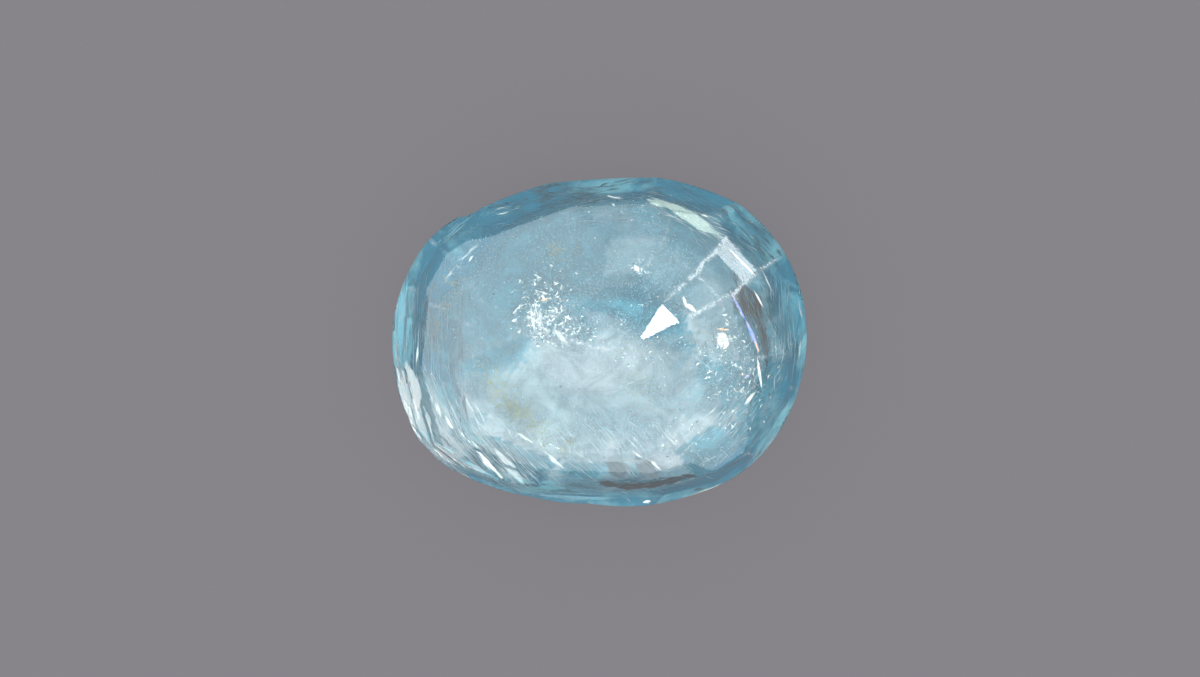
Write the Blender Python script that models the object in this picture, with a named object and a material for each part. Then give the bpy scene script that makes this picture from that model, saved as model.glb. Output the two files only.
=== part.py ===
"""Faceted sapphire: an oval, hand-cut stone lying on its table, with its stepped back upwards.

The stone is ground as a lapidary grinds it. A blank of the rim's outline is cut by one plane for each
facet: the crown's two tiers from below, then the back's tiers up to a short keel, then the worn culet.
Last come two shallow chips that the rim lost. Sizes are millimetres until the mesh is scaled to metres.
"""

import math

import bmesh
import bpy
from mathutils import Matrix, Vector

METRES_PER_MM = 0.001

# Driving dimensions, in millimetres.
CROWN_HEIGHT = 1.35
GIRDLE_THICKNESS = 0.34
BACK_HEIGHT = 3.05
CULET_WEAR = 0.03
GIRDLE_DRAFT = 0.003
POINTS_PER_SPAN = 6

# The rim's corners, anticlockwise from the right. Each starts one column of facets, and holds the
# corner's x and y, how far the rim swells beyond the straight line to the next corner, how many
# degrees the upper steps turn from that line, whether the column runs up to the keel, and the
# widths of its steps as seen from above, from the rim inwards. A width of zero leaves a step out.
COLUMNS = (
    (5.06, 2.50, 0.09, 0, True, (0.96, 0.54, 0.37, 0.40, 1.18)),
    (3.84, 3.80, 0.10, -15, True, (0.76, 0.54, 0.35, 0.41, 1.14)),
    (1.58, 4.54, 0.04, 0, True, (0.74, 0.58, 0.0, 0.69, 0.95)),
    (-1.36, 4.39, 0.05, 0, True, (0.88, 0.70, 0.0, 0.80, 0.0)),
    (-3.28, 3.69, 0.14, 0, False, (0.76, 0.76, 0.0, 0.66, 0.0)),
    (-4.77, 2.76, 0.05, 0, True, (0.82, 0.69, 0.0, 0.61, 0.0)),
    (-5.42, 1.62, 0.16, 0, True, (0.87, 0.0, 0.88, 0.33, 0.0)),
    (-5.66, -0.68, 0.08, 0, True, (0.80, 0.0, 0.86, 0.34, 0.0)),
    (-5.28, -2.05, 0.09, 0, False, (0.42, 0.0, 0.90, 0.40, 0.0)),
    (-4.72, -2.95, 0.06, 0, False, (0.40, 0.0, 0.80, 0.42, 0.0)),
    (-3.94, -3.56, 0.10, 0, True, (0.34, 0.58, 0.0, 0.50, 0.0)),
    (-1.94, -4.24, 0.06, 0, False, (0.44, 0.44, 0.0, 0.52, 0.0)),
    (-0.29, -4.44, 0.06, 0, True, (0.60, 0.35, 0.0, 0.54, 0.0)),
    (1.37, -4.48, 0.05, 0, False, (0.50, 0.44, 0.0, 0.60, 0.0)),
    (3.01, -4.04, 0.11, 0, True, (0.42, 0.60, 0.36, 0.34, 0.0)),
    (4.42, -3.12, 0.15, 0, False, (0.56, 0.55, 0.33, 0.40, 0.0)),
    (5.50, -1.16, 0.08, -15, True, (0.62, 0.42, 0.32, 0.40, 0.90)),
    (5.68, 0.48, 0.14, 0, True, (0.94, 0.50, 0.32, 0.42, 1.18)),
)

# How high above the girdle each step of the back ends, and the short keel that it runs up to.
STEP_ENDS = (1.40, 1.87, 2.13, 2.37, 2.82)
KEEL_ENDS = (Vector((-1.42, 0.44)), Vector((0.98, -0.06)))

# The crown's tiers, counted from the girdle: the slope of each and the share of the crown's height.
CROWN_SLOPES = (math.radians(47), math.radians(31))
CROWN_SHARES = (0.58, 0.42)

# Chips at the rim: the direction from the stone's middle, the depth, and the radius of the scoop.
CHIPS = (
    ("rim_chip_top", math.radians(131.6), 0.06, 0.9),
    ("rim_chip_side", math.radians(161.5), 0.05, 0.8),
)
CHIP_HEIGHT = CROWN_HEIGHT + 0.62 * GIRDLE_THICKNESS

SAPPHIRE_COLOUR = (0.36, 0.62, 0.70, 1.0)
SAPPHIRE_IOR = 1.77
TOTAL_HEIGHT = CROWN_HEIGHT + GIRDLE_THICKNESS + BACK_HEIGHT
CUT_ACCURACY = 1e-6


def clear_scene():
    for old in list(bpy.data.objects):
        bpy.data.objects.remove(old)


def rim_spans():
    """One list of points for each column, from its corner to just before the next, centred on the origin."""
    corners = [Vector(column[:2]) for column in COLUMNS]
    spans = []
    for i, (start, column) in enumerate(zip(corners, COLUMNS)):
        end = corners[(i + 1) % len(corners)]
        along = (end - start).normalized()
        outward = Vector((along.y, -along.x))
        shares = [k / POINTS_PER_SPAN for k in range(POINTS_PER_SPAN)]
        swell = [4 * column[2] * share * (1 - share) for share in shares]
        spans.append([start.lerp(end, s) + outward * out for s, out in zip(shares, swell)])
    every = [point for span in spans for point in span]
    lows = [min(point[axis] for point in every) for axis in (0, 1)]
    highs = [max(point[axis] for point in every) for axis in (0, 1)]
    middle = (Vector(lows) + Vector(highs)) / 2
    return [[point - middle for point in span] for span in spans]


def cut_blank(outline):
    """A solid of the rim's outline, a little narrower at the top."""
    bm = bmesh.new()
    foot = [bm.verts.new((p.x, p.y, 0.0)) for p in outline]
    narrow = 1.0 - GIRDLE_DRAFT * TOTAL_HEIGHT
    head = [bm.verts.new((p.x * narrow, p.y * narrow, TOTAL_HEIGHT)) for p in outline]
    bm.faces.new(list(reversed(foot)))
    bm.faces.new(head)
    for i in range(len(outline)):
        after = (i + 1) % len(outline)
        bm.faces.new((foot[i], foot[after], head[after], head[i]))
    return bm


def grind(bm, point, normal):
    """Takes off what lies beyond the plane, and closes the stone with one flat facet."""
    cut = bmesh.ops.bisect_plane(
        bm,
        geom=bm.verts[:] + bm.edges[:] + bm.faces[:],
        dist=CUT_ACCURACY,
        plane_co=point,
        plane_no=normal,
        clear_outer=True,
    )
    edges = [piece for piece in cut["geom_cut"] if isinstance(piece, bmesh.types.BMEdge)]
    if edges:
        bmesh.ops.holes_fill(bm, edges=edges)


def column_frames(spans):
    """For each column: its outward direction, and the point where its first facet meets the girdle."""
    frames = []
    for i, span in enumerate(spans):
        start, end = span[0], spans[(i + 1) % len(spans)][0]
        along = (end - start).normalized()
        outward = Vector((along.y, -along.x))
        foot = (start + end) / 2 + outward * COLUMNS[i][2] / 2
        frames.append((outward, foot))
    return frames


def grind_back(bm, frames):
    """The steps of one column after another, from the girdle up to the keel."""
    girdle_top = CROWN_HEIGHT + GIRDLE_THICKNESS
    for (outward, foot), (_, _, _, turn, reaches_keel, widths) in zip(frames, COLUMNS):
        facing, spot, height = outward, foot, 0.0
        steps = list(zip(widths, STEP_ENDS))
        if reaches_keel:
            steps.append((None, BACK_HEIGHT))
        for width, step_end in steps:
            if width == 0.0:
                continue
            if width is None:
                width = facing.dot(spot) - max(facing.dot(end) for end in KEEL_ENDS)
            lean = facing * (step_end - height)
            grind(bm, (spot.x, spot.y, girdle_top + height), (lean.x, lean.y, width))
            spot = spot - facing * width
            height = step_end
            facing = Vector(outward)
            facing.rotate(Matrix.Rotation(math.radians(turn), 2))
    grind(bm, (0.0, 0.0, girdle_top + BACK_HEIGHT - CULET_WEAR), (0.0, 0.0, 1.0))


def grind_crown(bm, frames):
    """The crown's two tiers, which lean in towards the table that the stone lies on."""
    for outward, foot in frames:
        spot, height = foot, CROWN_HEIGHT
        for slope, share in zip(CROWN_SLOPES, CROWN_SHARES):
            lean = outward * math.sin(slope)
            grind(bm, (spot.x, spot.y, height), (lean.x, lean.y, -math.cos(slope)))
            spot = spot - outward * CROWN_HEIGHT * share / math.tan(slope)
            height -= CROWN_HEIGHT * share


def sapphire_material():
    material = bpy.data.materials.new("pale_blue_sapphire")
    material.use_nodes = True
    shader = material.node_tree.nodes["Principled BSDF"]
    shader.inputs["Base Color"].default_value = SAPPHIRE_COLOUR
    shader.inputs["Roughness"].default_value = 0.08
    shader.inputs["Metallic"].default_value = 0.0
    shader.inputs["IOR"].default_value = SAPPHIRE_IOR
    shader.inputs["Transmission Weight"].default_value = 0.9
    return material


def chip_rim(stone, outline):
    """Scoops the two shallow chips out of the rim with the side of a sphere."""
    for name, direction, depth, radius in CHIPS:
        ray = Vector((math.cos(direction), math.sin(direction)))
        nearest = max(outline, key=lambda point: point.normalized().dot(ray))
        centre = nearest + ray * (radius - depth)
        bpy.ops.mesh.primitive_uv_sphere_add(
            segments=48,
            ring_count=24,
            radius=radius * METRES_PER_MM,
            location=(
                centre.x * METRES_PER_MM,
                centre.y * METRES_PER_MM,
                CHIP_HEIGHT * METRES_PER_MM,
            ),
        )
        scoop = bpy.context.object
        scoop.name = name
        scoop.hide_render = True
        scoop.display_type = "WIRE"
        cut = stone.modifiers.new(name, "BOOLEAN")
        cut.operation = "DIFFERENCE"
        cut.solver = "EXACT"
        cut.object = scoop


def main():
    clear_scene()
    spans = rim_spans()
    outline = [point for span in spans for point in span]
    frames = column_frames(spans)
    bm = cut_blank(outline)
    grind_crown(bm, frames)
    grind_back(bm, frames)
    bmesh.ops.recalc_face_normals(bm, faces=bm.faces[:])
    bmesh.ops.transform(bm, matrix=Matrix.Scale(METRES_PER_MM, 4), verts=bm.verts[:])
    mesh = bpy.data.meshes.new("sapphire")
    bm.to_mesh(mesh)
    bm.free()
    mesh.materials.append(sapphire_material())
    stone = bpy.data.objects.new("sapphire", mesh)
    bpy.context.scene.collection.objects.link(stone)
    chip_rim(stone, outline)


main()
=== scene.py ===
"""A loose pale blue sapphire, lying on its table with its stepped back up, seen from straight above."""

import math
import random

import bmesh
import bpy
import numpy as np
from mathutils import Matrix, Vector, bvhtree, kdtree, noise


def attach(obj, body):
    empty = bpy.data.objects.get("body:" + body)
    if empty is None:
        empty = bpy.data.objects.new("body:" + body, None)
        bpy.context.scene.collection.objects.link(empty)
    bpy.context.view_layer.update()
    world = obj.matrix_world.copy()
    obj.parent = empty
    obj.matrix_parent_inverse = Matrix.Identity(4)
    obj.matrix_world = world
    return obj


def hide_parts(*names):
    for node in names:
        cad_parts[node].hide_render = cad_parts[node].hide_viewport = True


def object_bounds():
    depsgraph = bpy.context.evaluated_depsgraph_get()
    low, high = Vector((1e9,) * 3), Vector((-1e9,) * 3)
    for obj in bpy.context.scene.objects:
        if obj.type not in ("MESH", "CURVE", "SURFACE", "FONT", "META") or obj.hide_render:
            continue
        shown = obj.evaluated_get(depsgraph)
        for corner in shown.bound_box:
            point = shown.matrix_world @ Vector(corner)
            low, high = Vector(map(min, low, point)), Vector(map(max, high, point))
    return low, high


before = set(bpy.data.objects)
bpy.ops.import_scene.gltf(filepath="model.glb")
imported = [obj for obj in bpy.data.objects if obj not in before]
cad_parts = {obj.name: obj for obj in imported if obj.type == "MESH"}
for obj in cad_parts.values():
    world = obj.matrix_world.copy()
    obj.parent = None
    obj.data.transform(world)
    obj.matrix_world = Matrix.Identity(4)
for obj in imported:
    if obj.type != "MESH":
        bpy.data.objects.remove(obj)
cad_low, cad_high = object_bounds()

# The cut stone
# The stone itself: one piece of natural corundum, sawn and ground into flat facets by hand. The facets
# keep their planes, but the ridges between them have rubbed dull where the stone was carried loose,
# and the polish shows fine scratches and pits.
MM = 0.001
RIDGE_ANGLE = math.radians(2.0)
LONGEST_EDGE = 0.11 * MM
WEAR_WIDTH = 0.07 * MM
RIDGE_SAMPLE = 0.03 * MM
MERGE_DISTANCE = 0.002 * MM
FLAT_ANGLE = math.radians(0.4)

bpy.ops.object.select_all(action="DESELECT")
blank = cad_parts["sapphire"]
stone = blank.copy()
stone.data = blank.data.copy()
stone.name = "cut_stone"
bpy.context.scene.collection.objects.link(stone)
stone.parent = None
stone.data.transform(blank.matrix_world)
stone.matrix_world.identity()
stone.select_set(True)
bpy.context.view_layer.objects.active = stone
bpy.ops.object.mode_set(mode="EDIT")
bpy.ops.mesh.select_all(action="SELECT")
bpy.ops.mesh.remove_doubles(threshold=MERGE_DISTANCE)
bpy.ops.mesh.dissolve_limited(angle_limit=FLAT_ANGLE)


def bank(x, y, centre, reach, lean=0.0):
    """How near x, y is to the middle of an oval patch, from 0 at its edge to 1 inside; in millimetres."""
    dx, dy = x / MM - centre[0], y / MM - centre[1]
    c, s = math.cos(lean), math.sin(lean)
    u, v = (dx * c + dy * s) / reach[0], (dy * c - dx * s) / reach[1]
    return max(0.0, 1.0 - (u * u + v * v))


def mottle(x, y, z, scale, seed):
    """A soft random pattern from 0 to 1, with the scale in blotches per millimetre."""
    spot = Vector((x, y, z)) * (scale / MM) + Vector((seed, 3.1 * seed, -seed))
    return 0.5 + 0.5 * noise.fractal(spot, 0.9, 2.1, 4)


def rubbed(x, y):
    """How much the ridges have rubbed at one place: most at the upper right and along the keel."""
    share = 0.10 + 1.35 * bank(x, y, (3.1, 1.8), (2.0, 2.1))
    share += 0.75 * bank(x, y, (-0.6, 0.2), (1.7, 0.7), -0.2) ** 0.5
    share += 0.30 * bank(x, y, (-4.2, 1.5), (1.6, 1.8)) ** 0.5
    share += 0.30 * bank(x, y, (4.8, -1.6), (1.4, 2.4)) ** 0.5
    return share * (0.45 + 1.1 * mottle(x, y, 0.0, 1.6, 9.0))


# Every ridge between two facets, as points along it with how much that ridge has worn. Ridges that run
# in from the rim stand proud of their facets and wear far more than those that lie along it.
random.seed(11)
facets = bmesh.from_edit_mesh(stone.data)
worn_spots = []
for edge in facets.edges:
    if len(edge.link_faces) == 2 and edge.calc_face_angle() > RIDGE_ANGLE:
        start, end = (vertex.co.copy() for vertex in edge.verts)
        inward = abs((end - start).to_2d().normalized().dot((start + end).to_2d().normalized()))
        worn = random.uniform(0.6, 1.0) * min(1.0, edge.calc_face_angle() / math.radians(8))
        worn *= 0.28 + 0.72 * inward**2
        steps = max(2, int((end - start).length / RIDGE_SAMPLE))
        for i in range(steps + 1):
            place = start.lerp(end, i / steps)
            worn_spots.append((place, worn * rubbed(place.x, place.y)))
ridges = kdtree.KDTree(len(worn_spots))
for i, (place, worn) in enumerate(worn_spots):
    ridges.insert(place, i)
ridges.balance()

# The flat facets are split finely, so that the wear along the ridges can follow them.
bpy.ops.mesh.quads_convert_to_tris()
for _ in range(8):
    bpy.ops.mesh.select_mode(type="EDGE")
    bpy.ops.mesh.select_all(action="DESELECT")
    facets = bmesh.from_edit_mesh(stone.data)
    long_edges = [edge for edge in facets.edges if edge.calc_length() > LONGEST_EDGE]
    if not long_edges:
        break
    for edge in long_edges:
        edge.select = True
    bmesh.update_edit_mesh(stone.data)
    bpy.ops.mesh.subdivide(number_cuts=1, quadcorner="STRAIGHT_CUT")
    bpy.ops.mesh.select_all(action="SELECT")
    bpy.ops.mesh.quads_convert_to_tris()
bpy.ops.object.mode_set(mode="OBJECT")

wear = stone.data.attributes.new("wear", "FLOAT", "POINT")
for vertex in stone.data.vertices:
    _, nearest, away = ridges.find(vertex.co)
    worn = worn_spots[nearest][1] * math.exp(-((away / WEAR_WIDTH) ** 2))
    wear.data[vertex.index].value = worn
bpy.ops.object.shade_smooth()


def wire(tree, source, target):
    """Joins one node's output to another's input."""
    tree.links.new(source, target)


def add_noise(tree, place, scale, detail=4.0, rough=0.55, distortion=0.0):
    """A noise pattern fixed in the stone; the scale is in blotches per unit of the place given."""
    node = tree.nodes.new("ShaderNodeTexNoise")
    node.inputs["Scale"].default_value = scale
    node.inputs["Detail"].default_value = detail
    node.inputs["Roughness"].default_value = rough
    node.inputs["Distortion"].default_value = distortion
    wire(tree, place, node.inputs["Vector"])
    return node.outputs["Fac"]


def add_range(tree, source, low, high, out_low, out_high):
    """Stretches a value from one range to another, and holds it at the ends."""
    node = tree.nodes.new("ShaderNodeMapRange")
    node.inputs["From Min"].default_value = low
    node.inputs["From Max"].default_value = high
    node.inputs["To Min"].default_value = out_low
    node.inputs["To Max"].default_value = out_high
    wire(tree, source, node.inputs["Value"])
    return node.outputs["Result"]


def add_math(tree, operation, first, second):
    """Combines two values; each may be an output or a plain number."""
    node = tree.nodes.new("ShaderNodeMath")
    node.operation = operation
    for slot, value in zip(node.inputs, (first, second)):
        if isinstance(value, (int, float)):
            slot.default_value = value
        else:
            wire(tree, value, slot)
    return node.outputs["Value"]


def add_mix(tree, share, first, second):
    """Mixes two colours; each may be an output or a plain colour."""
    node = tree.nodes.new("ShaderNodeMix")
    node.data_type = "RGBA"
    wire(tree, share, node.inputs["Factor"])
    for slot, value in ((node.inputs["A"], first), (node.inputs["B"], second)):
        if isinstance(value, tuple):
            slot.default_value = value
        else:
            wire(tree, value, slot)
    return node.outputs["Result"]


def add_attribute(tree, name):
    """A value that is stored at the mesh's points."""
    node = tree.nodes.new("ShaderNodeAttribute")
    node.attribute_name = name
    return node.outputs["Fac"]


def new_finish(name):
    """A new material, with its shader and the stone's own coordinates."""
    finish = bpy.data.materials.new(name)
    finish.use_nodes = True
    tree = finish.node_tree
    shader = tree.nodes["Principled BSDF"]
    place = tree.nodes.new("ShaderNodeTexCoord").outputs["Object"]
    return finish, tree, shader, place


SAPPHIRE_IOR = 1.77
POLISH_TINT = (0.95, 0.99, 1.0, 1.0)
FROST_TINT = (0.78, 0.88, 0.92, 1.0)
PASSED_COLOUR = (0.25, 0.88, 0.915, 1.0)
DEPTH_OF_COLOUR = 250.0
RELIEF_HEIGHT = 0.02 * MM
PER_MM = 1 / MM

polished, tree, shader, place = new_finish("polished_sapphire")
patches = add_noise(tree, place, 2.6 * PER_MM, 6.0, 0.65)
crumbs = add_noise(tree, place, 15.0 * PER_MM, 3.0, 0.7)
broken = add_math(tree, "MULTIPLY", patches, crumbs)
chipped = add_range(tree, broken, 0.17, 0.37, 0.0, 1.15)
frost = add_math(tree, "MULTIPLY", add_attribute(tree, "wear"), chipped)
frost = add_range(tree, frost, 0.07, 0.62, 0.0, 1.0)
wire(tree, add_mix(tree, frost, POLISH_TINT, FROST_TINT), shader.inputs["Base Color"])
haze = add_range(tree, patches, 0.35, 0.75, 0.015, 0.075)
dulled = add_range(tree, frost, 0.0, 1.0, 0.0, 0.55)
wire(tree, add_math(tree, "MAXIMUM", haze, dulled), shader.inputs["Roughness"])
wire(tree, add_range(tree, frost, 0.0, 1.0, 0.95, 0.45), shader.inputs["Transmission Weight"])
shader.inputs["IOR"].default_value = SAPPHIRE_IOR
swells = add_noise(tree, place, 0.9 * PER_MM, 2.0, 0.5)
scratches = add_noise(tree, place, 22.0 * PER_MM, 5.0, 0.75, 1.5)
relief = add_math(tree, "ADD", swells, add_math(tree, "MULTIPLY", scratches, 0.012))
crumbled = add_math(tree, "MULTIPLY", add_math(tree, "MULTIPLY", frost, crumbs), 0.10)
relief = add_math(tree, "ADD", relief, crumbled)
bump = tree.nodes.new("ShaderNodeBump")
bump.inputs["Strength"].default_value = 1.0
bump.inputs["Distance"].default_value = RELIEF_HEIGHT
wire(tree, relief, bump.inputs["Height"])
wire(tree, bump.outputs["Normal"], shader.inputs["Normal"])
soak = tree.nodes.new("ShaderNodeVolumeAbsorption")
soak.inputs["Color"].default_value = PASSED_COLOUR
soak.inputs["Density"].default_value = DEPTH_OF_COLOUR
wire(tree, soak.outputs["Volume"], tree.nodes["Material Output"].inputs["Volume"])
stone.data.materials.clear()
stone.data.materials.append(polished)
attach(stone, "root")
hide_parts("sapphire")

# Pinpoint clouds
# Countless tiny white flakes that grew with the crystal. They hang in drifts, closest in the middle and
# low on the left, and leave the rim almost clear.
CLEAR_OF_SURFACE = 0.10 * MM
FLAKES_A_CLOUD = 15000
FLAKE_SIZE = (0.012 * MM, 0.034 * MM)
FLAKE_SCATTER = 0.015 * MM
FLAKE_THICKNESS = 0.12
FLAKE_TILT = 0.42

walls = bvhtree.BVHTree.FromPolygons(
    [vertex.co for vertex in stone.data.vertices],
    [tuple(face.vertices) for face in stone.data.polygons],
)
HALF_LENGTH = cad_high[0]
HALF_WIDTH = cad_high[1]
ABOVE = cad_high[2] + MM


def column(x, y):
    """The stone's lowest and highest point on the upright line through x, y, or None outside it."""
    top = walls.ray_cast(Vector((x, y, ABOVE)), Vector((0, 0, -1)))[0]
    foot = walls.ray_cast(Vector((x, y, -MM)), Vector((0, 0, 1)))[0]
    if top is None or foot is None or top.z - foot.z < 3 * CLEAR_OF_SURFACE:
        return None
    return foot.z + CLEAR_OF_SURFACE, top.z - CLEAR_OF_SURFACE


def new_piece(mesh):
    """An object of the mesh's own name, in the scene."""
    piece = bpy.data.objects.new(mesh.name, mesh)
    bpy.context.scene.collection.objects.link(piece)
    return piece


def flakes_mesh(name, centres, axes, lengths, widths, thickness):
    """One mesh of thin four-sided flakes: each has three corners in its plane and one lifted a little."""
    count = len(centres)
    along, side, up = axes
    shape = np.array([[-0.5, -0.45, 0.0], [0.5, -0.25, 0.0], [0.0, 0.5, 0.0], [0.0, -0.05, 1.0]])
    corners = (
        centres[:, None, :]
        + along[:, None, :] * (shape[None, :, 0] * lengths[:, None])[:, :, None]
        + side[:, None, :] * (shape[None, :, 1] * widths[:, None])[:, :, None]
        + up[:, None, :] * (shape[None, :, 2] * (widths * thickness)[:, None])[:, :, None]
    )
    faces = np.array([[0, 2, 1], [0, 1, 3], [1, 2, 3], [2, 0, 3]])
    faces = (faces[None, :, :] + 4 * np.arange(count)[:, None, None]).reshape(-1, 3)
    mesh = bpy.data.meshes.new(name)
    mesh.from_pydata(corners.reshape(-1, 3).tolist(), [], faces.tolist())
    return new_piece(mesh)


def random_axes(rng, count, tilt):
    """Three square directions for each of many flakes, which lie level but for a random tilt."""
    up = np.array((0.0, 0.0, 1.0)) + tilt * rng.normal(size=(count, 3))
    up /= np.linalg.norm(up, axis=1)[:, None]
    side = np.cross(up, rng.normal(size=(count, 3)))
    side /= np.linalg.norm(side, axis=1)[:, None]
    return np.cross(side, up), side, up


def cloud_share(x, y, z):
    """How thickly the flakes lie at one place, from 0 to 1."""
    share = 0.70 * bank(x, y, (-0.3, -0.1), (4.7, 3.7)) ** 0.5
    share += 0.45 * bank(x, y, (0.2, -1.7), (3.6, 1.9), 0.1)
    share -= 0.40 * bank(x, y, (3.6, 0.8), (1.6, 1.7))
    share -= 0.65 * bank(x, y, (-2.9, 0.1), (1.6, 1.7))
    return share * max(0.0, 2.4 * mottle(x, y, z, 0.8, 4.0) - 0.75)


def fill_cloud(name, seed, nearest, deepest):
    """Drops flakes at random into the stone, and keeps those where the cloud is thick."""
    random.seed(seed)
    rng = np.random.default_rng(seed)
    centres = []
    while len(centres) < FLAKES_A_CLOUD:
        x = random.uniform(-HALF_LENGTH, HALF_LENGTH)
        y = random.uniform(-HALF_WIDTH, HALF_WIDTH)
        heights = column(x, y)
        if heights is None:
            continue
        low, high = heights
        for _ in range(4):
            z = high - random.uniform(nearest, deepest)
            if z > low and random.random() < cloud_share(x, y, z):
                spread = [random.gauss(0, FLAKE_SCATTER) for _ in range(2)]
                centres.append((x + spread[0], y + spread[1], z))
    centres = np.array(centres[:FLAKES_A_CLOUD])
    sizes = rng.uniform(*FLAKE_SIZE, size=len(centres))
    axes = random_axes(rng, len(centres), FLAKE_TILT)
    widths = sizes * rng.uniform(0.5, 1.0, len(sizes))
    return flakes_mesh(name, centres, axes, sizes, widths, FLAKE_THICKNESS)


CLOUD_PALE = (0.90, 0.97, 1.0, 1.0)
CLOUD_BLUE = (0.50, 0.84, 0.98, 1.0)

milky, tree, shader, place = new_finish("pinpoint_cloud")
drift = add_range(tree, add_noise(tree, place, 0.5 * PER_MM, 3.0), 0.35, 0.65, 0.0, 1.0)
wire(tree, add_mix(tree, drift, CLOUD_BLUE, CLOUD_PALE), shader.inputs["Base Color"])
grain = add_noise(tree, place, 8.0 * PER_MM)
wire(tree, add_range(tree, grain, 0.3, 0.7, 0.5, 0.8), shader.inputs["Roughness"])
shader.inputs["Metallic"].default_value = 0.5

for name, seed, nearest, deepest in (
    ("upper_cloud", 21, 0.05 * MM, 1.0 * MM),
    ("middle_cloud", 22, 0.4 * MM, 2.4 * MM),
):
    cloud = fill_cloud(name, seed, nearest, deepest)
    cloud.data.materials.append(milky)
    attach(cloud, "root")

# Growth veils
# Thin milky sheets, one above another, where the growing crystal caught fine dust along a face and grew
# on over it. They are ragged and half clear, and end where the ground facets cut them off. The deepest
# is the bluest and shows beside the rim, and the milk gathers in the middle and below it.
VEIL_CELL = 0.11 * MM
RIM_VEIL_CELL = 0.065 * MM
RIM_TOP = 1.69 * MM
PAST_THE_RIM = 1.05
# Each veil: its seed, its height at the rim, how far it follows the stone's back, its lean along x and
# y, how much it waves, the oval that it covers, its two tints, and how thin and how thick it gets.
VEILS = {
    "keel_veil": (60, 1.70, 0.80, (0.0, 0.0), 0.3, (-0.2, -0.3), (1.9, 1.2), "pale", "white", (0.1, 1.0)),
    "low_veil": (61, 1.95, 0.55, (0.02, 0.0), 0.5, (0.1, -1.2), (4.1, 2.5), "blue", "white", (0.25, 1.0)),
    "upper_veil": (62, 1.80, 0.50, (-0.04, 0.0), 0.5, (-0.3, 0.8), (3.9, 2.7), "blue", "pale", (0.05, 0.65)),
    "body_veil": (63, 1.60, 0.40, (0.0, 0.0), 0.3, (0.55, -0.05), (4.45, 3.9), "blue", "pale", (0.55, 1.0)),
    "facet_veil": (65, 1.60, 0.38, (0.0, 0.0), 0.1, (-4.5, -2.1), (1.0, 1.5), "clear", "white", (0.5, 1.0)),
    "rim_veil": (64, 1.45, 0.38, (0.0, 0.0), 0.1, (0.0, 0.0), (7.0, 5.6), "deep", "clear", (0.88, 1.0)),
}
EDGE_SHARPNESS = {"keel_veil": 1.3, "facet_veil": 2.0}
USUAL_SHARPNESS = 4.5
# How strongly the painted facet shade shifts the veils' paleness, facet by facet.
PAINTED_FACET_SHADE_STRENGTH = 1.9
VEIL_TINTS = {
    "white": (0.97, 0.92, 0.96, 1.0),
    "pale": (0.74, 0.80, 0.89, 1.0),
    "blue": (0.15, 0.52, 0.66, 1.0),
    "clear": (0.42, 0.90, 1.0, 1.0),
    "deep": (0.0, 0.38, 0.57, 1.0),
}


def paleness(x, y):
    """How far the milk thins the blue at one place, from 0 to 1."""
    share = 0.72 * bank(x, y, (0.4, -1.9), (3.9, 2.4))
    share += 0.70 * bank(x, y, (-0.3, -0.3), (1.7, 1.1))
    share += 0.60 * bank(x, y, (-2.6, -2.4), (2.0, 1.2), -0.5)
    share += 1.20 * bank(x, y, (-4.9, -2.3), (1.3, 1.7), 0.3)
    share += 1.00 * bank(x, y, (-5.3, 0.8), (0.8, 2.4))
    share += 0.60 * bank(x, y, (-4.4, 2.6), (1.2, 1.0), 0.8)
    share += 1.00 * bank(x, y, (-0.6, -4.2), (4.4, 0.9))
    share += 1.00 * bank(x, y, (4.5, -2.4), (1.2, 1.5), 0.6)
    share -= 0.90 * bank(x, y, (-4.3, 0.6), (0.6, 2.5))
    share -= 0.40 * bank(x, y, (-2.9, 0.1), (1.5, 1.7))
    share -= 0.50 * bank(x, y, (3.0, -1.0), (1.6, 1.3))
    return min(1.0, share)


def painted_facet_shade(x, y):
    """Painted facet shade: a shift in paleness that is the same all over one facet and is set by the way
    that facet faces, so each facet shows lighter or darker.
    """
    facing = walls.ray_cast(Vector((x, y, ABOVE)), Vector((0, 0, -1)))[1]
    return PAINTED_FACET_SHADE_STRENGTH * noise.noise(Vector((7.0 * facing.x, 7.0 * facing.y, 2.5)))


def veil_mesh(name, seed, base, follow, lean, waves, centre, reach):
    """A net of small squares over one oval, kept where it lies inside the stone."""
    net = bmesh.new()
    pale = net.verts.layers.float.new("pale")
    edge = net.verts.layers.float.new("edge")
    corners = {}
    cell = RIM_VEIL_CELL if name == "rim_veil" else VEIL_CELL
    across = int(min(reach[0] * MM, PAST_THE_RIM * HALF_LENGTH) / cell) + 1
    deep = int(min(reach[1] * MM, PAST_THE_RIM * HALF_WIDTH) / cell) + 1
    for i in range(-across, across + 1):
        for j in range(-deep, deep + 1):
            x, y = centre[0] * MM + i * cell, centre[1] * MM + j * cell
            heights = column(x, y)
            if heights is None:
                continue
            low, top = heights
            wave = waves * (mottle(x, y, 0.0, 0.35, seed) - 0.5)
            z = base * MM + lean[0] * x + lean[1] * y + wave * MM + follow * (top - RIM_TOP)
            inside = bank(x, y, centre, reach)
            if low < z < top and inside > 0:
                corner = net.verts.new((x, y, z))
                # The pale layer holds the milk's paleness plus the painted facet shade.
                corner[pale] = paleness(x, y) + painted_facet_shade(x, y)
                corner[edge] = min(1.0, EDGE_SHARPNESS.get(name, USUAL_SHARPNESS) * inside)
                corners[i, j] = corner
    for (i, j) in corners:
        square = [corners.get((i + a, j + b)) for a, b in ((0, 0), (1, 0), (1, 1), (0, 1))]
        if None not in square:
            net.faces.new(square)
    loose = [corner for corner in net.verts if not corner.link_faces]
    bmesh.ops.delete(net, geom=loose, context="VERTS")
    for corner in net.verts:
        if corner.is_boundary:
            corner[edge] = 0.0
    mesh = bpy.data.meshes.new(name)
    net.to_mesh(mesh)
    net.free()
    return new_piece(mesh)


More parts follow.
